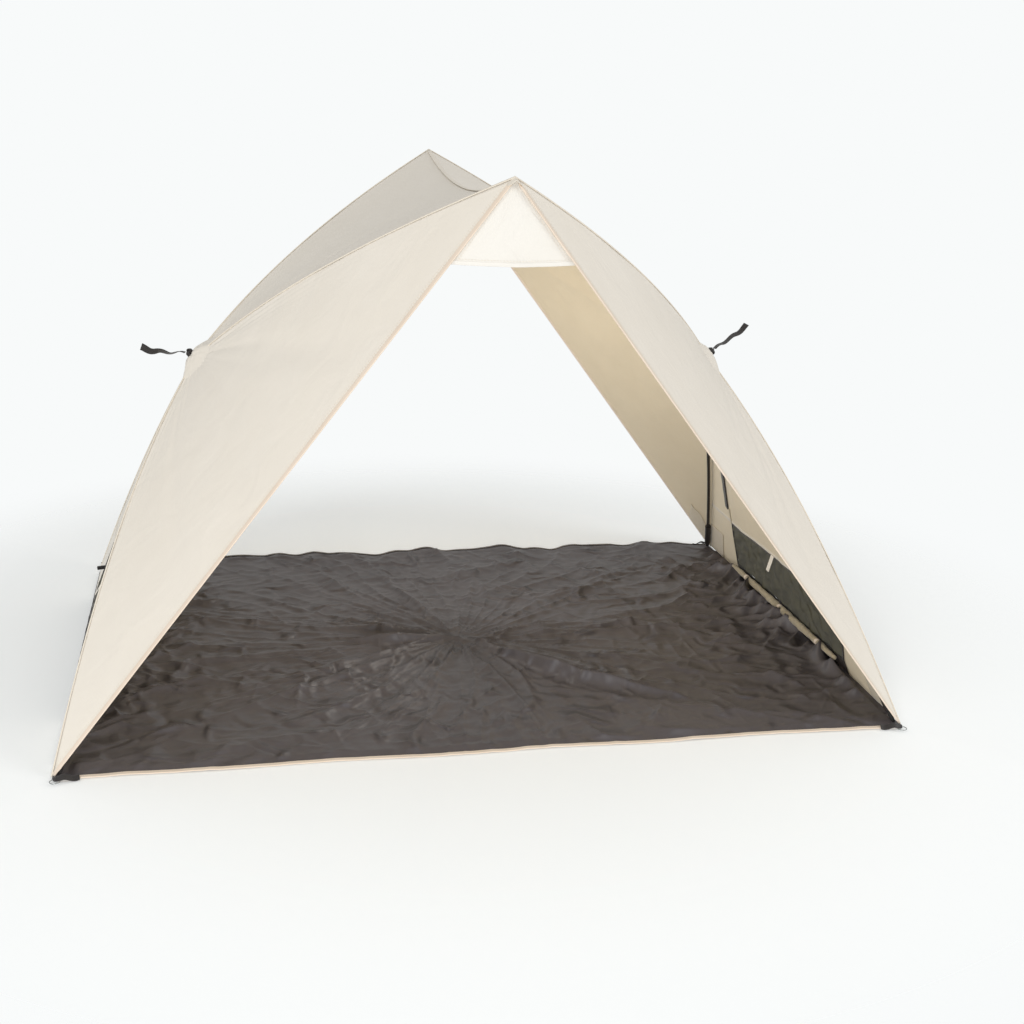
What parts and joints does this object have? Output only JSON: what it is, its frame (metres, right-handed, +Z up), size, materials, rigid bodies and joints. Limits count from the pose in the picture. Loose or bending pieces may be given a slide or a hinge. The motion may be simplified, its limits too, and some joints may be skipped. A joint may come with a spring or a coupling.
{
  "type": "pop-up tarp shelter",
  "caption": "Two-walled sun shelter on a hub-and-pole frame, open front and rear, with mesh side windows and a fitted ground sheet; the walls fold together about the ridge.",
  "frame": {"origin": "on the ground, midway between the four feet", "axes": "+X across the open front, to the right seen from the front; +Y from the front to the rear; +Z up"},
  "size_m": [2.2065, 1.6284, 1.4144],
  "materials": {
    "canopy_polyester": "plain weave, light coating",
    "gusset_polyester": "plain weave",
    "sheet_polyethylene": "coated, slight satin sheen",
    "window_netting": "fine open mesh",
    "rolled_polyester": "plain weave",
    "webbing": "woven tape",
    "fibreglass": "smooth resin",
    "moulded_nylon": "fine moulded grain",
    "rubber_tip": "matt",
    "zinc_steel": "bright zinc"
  },
  "bodies": {
    "ground": {"ground_sheet": "sheet_polyethylene"},
    "ridge": {"front_gusset": "gusset_polyester", "front_peak_bracket": "moulded_nylon", "front_peak_pin": "zinc_steel", "rear_gusset": "gusset_polyester", "rear_peak_bracket": "moulded_nylon", "rear_peak_pin": "zinc_steel", "ridge_panel": "canopy_polyester"},
    "left_wall": {"left_corner_patches": "rolled_polyester", "left_foot_sleeves": "moulded_nylon", "left_foot_tips": "rubber_tip", "left_front_loop": "webbing", "left_front_lower_pole": "fibreglass", "left_front_panel": "canopy_polyester", "left_front_upper_pole": "fibreglass", "left_hem_band": "sheet_polyethylene", "left_hub_base": "moulded_nylon", "left_hub_bolt": "zinc_steel", "left_hub_cap": "moulded_nylon", "left_hub_pins": "zinc_steel", "left_hub_sockets": "moulded_nylon", "left_peak_eyes": "moulded_nylon", "left_rear_loop": "webbing", "left_rear_lower_pole": "fibreglass", "left_rear_panel": "canopy_polyester", "left_rear_upper_pole": "fibreglass", "left_roll_ties": "webbing", "left_side_panel": "rolled_polyester", "left_top_panel": "canopy_polyester", "left_window_mesh": "window_netting", "left_window_roll": "rolled_polyester"},
    "left_strap": {"left_pull_strap": "webbing"},
    "left_front_ring": {"left_front_ring": "zinc_steel"},
    "left_rear_ring": {"left_rear_ring": "zinc_steel"},
    "right_wall": {"right_corner_patches": "rolled_polyester", "right_foot_sleeves": "moulded_nylon", "right_foot_tips": "rubber_tip", "right_front_loop": "webbing", "right_front_lower_pole": "fibreglass", "right_front_panel": "canopy_polyester", "right_front_upper_pole": "fibreglass", "right_hem_band": "sheet_polyethylene", "right_hub_base": "moulded_nylon", "right_hub_bolt": "zinc_steel", "right_hub_cap": "moulded_nylon", "right_hub_pins": "zinc_steel", "right_hub_sockets": "moulded_nylon", "right_peak_eyes": "moulded_nylon", "right_rear_loop": "webbing", "right_rear_lower_pole": "fibreglass", "right_rear_panel": "canopy_polyester", "right_rear_upper_pole": "fibreglass", "right_roll_ties": "webbing", "right_side_panel": "rolled_polyester", "right_top_panel": "canopy_polyester", "right_window_mesh": "window_netting", "right_window_roll": "rolled_polyester"},
    "right_strap": {"right_pull_strap": "webbing"},
    "right_front_ring": {"right_front_ring": "zinc_steel"},
    "right_rear_ring": {"right_rear_ring": "zinc_steel"}
  },
  "joints": [
    {"name": "ridge_rise", "type": "slide", "parent": "ground", "child": "ridge", "axis": [0, 0, 1], "range_m": [0, 0.3765], "deforming": ["ground_sheet", "ridge_panel", "front_gusset", "rear_gusset"]},
    {"name": "left_wall_fold", "type": "hinge", "parent": "ridge", "child": "left_wall", "pos_m": [0, 0, 1.39], "axis": [0, -1, 0], "range_deg": [0, 33.4]},
    {"name": "right_wall_fold", "type": "hinge", "parent": "ridge", "child": "right_wall", "pos_m": [0, 0, 1.39], "axis": [0, 1, 0], "range_deg": [0, 33.4]},
    {"name": "left_strap_swing", "type": "hinge", "parent": "left_wall", "child": "left_strap", "pos_m": [-0.76281, 0, 0.88525], "axis": [0, 1, 0], "range_deg": [-35, 75]},
    {"name": "right_strap_swing", "type": "hinge", "parent": "right_wall", "child": "right_strap", "pos_m": [0.76281, 0, 0.88525], "axis": [0, -1, 0], "range_deg": [-75, 45]},
    {"name": "left_front_ring_lift", "type": "hinge", "parent": "left_wall", "child": "left_front_ring", "pos_m": [-1.09, -0.789, 0.006], "axis": [-1, 0, 0], "range_deg": [0, 90]},
    {"name": "left_rear_ring_lift", "type": "hinge", "parent": "left_wall", "child": "left_rear_ring", "pos_m": [-1.09, 0.789, 0.006], "axis": [1, 0, 0], "range_deg": [0, 90]},
    {"name": "right_front_ring_lift", "type": "hinge", "parent": "right_wall", "child": "right_front_ring", "pos_m": [1.09, -0.789, 0.006], "axis": [-1, 0, 0], "range_deg": [0, 90]},
    {"name": "right_rear_ring_lift", "type": "hinge", "parent": "right_wall", "child": "right_rear_ring", "pos_m": [1.09, 0.789, 0.006], "axis": [1, 0, 0], "range_deg": [0, 90]}
  ],
  "couplings": [
    {"joint": "left_wall_fold", "follows": "ridge_rise", "rad_per_m": 1.5483},
    {"joint": "right_wall_fold", "follows": "ridge_rise", "rad_per_m": 1.5483}
  ]
}
